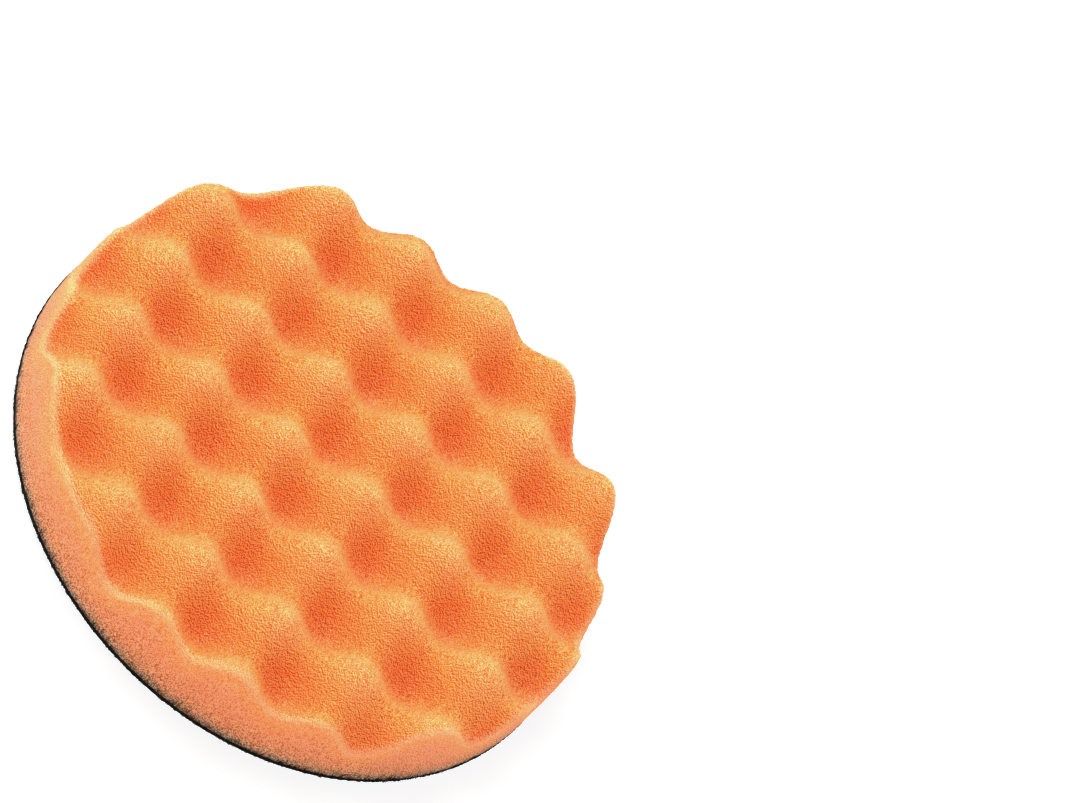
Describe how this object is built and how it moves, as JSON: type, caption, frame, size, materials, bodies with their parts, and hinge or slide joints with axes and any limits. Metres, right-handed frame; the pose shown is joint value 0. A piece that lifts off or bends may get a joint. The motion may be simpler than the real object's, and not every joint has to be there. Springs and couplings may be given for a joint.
{
  "type": "polishing pad",
  "caption": "Round foam polishing pad for a car polisher, with a convoluted orange working face and a black loop cloth back.",
  "frame": {"origin": "centre of the loop cloth's underside", "axes": "+Z along the pad's axis, out of the foam face; X and Y are free turns about it, set so that the first row of pits runs about 13 degrees from +X"},
  "size_m": [0.1334, 0.1334, 0.0219],
  "materials": {
    "orange_foam": "soft open-cell polyurethane foam, fine grain, fully matt",
    "adhesive_film": "thin laminating adhesive soaked into the foam, dull",
    "black_loop_cloth": "brushed nylon loop pile on a thin knit, matt"
  },
  "bodies": {
    "root": {"foam_disc": "orange_foam", "bond_film": "adhesive_film", "loop_backing": "black_loop_cloth"}
  },
  "joints": []
}
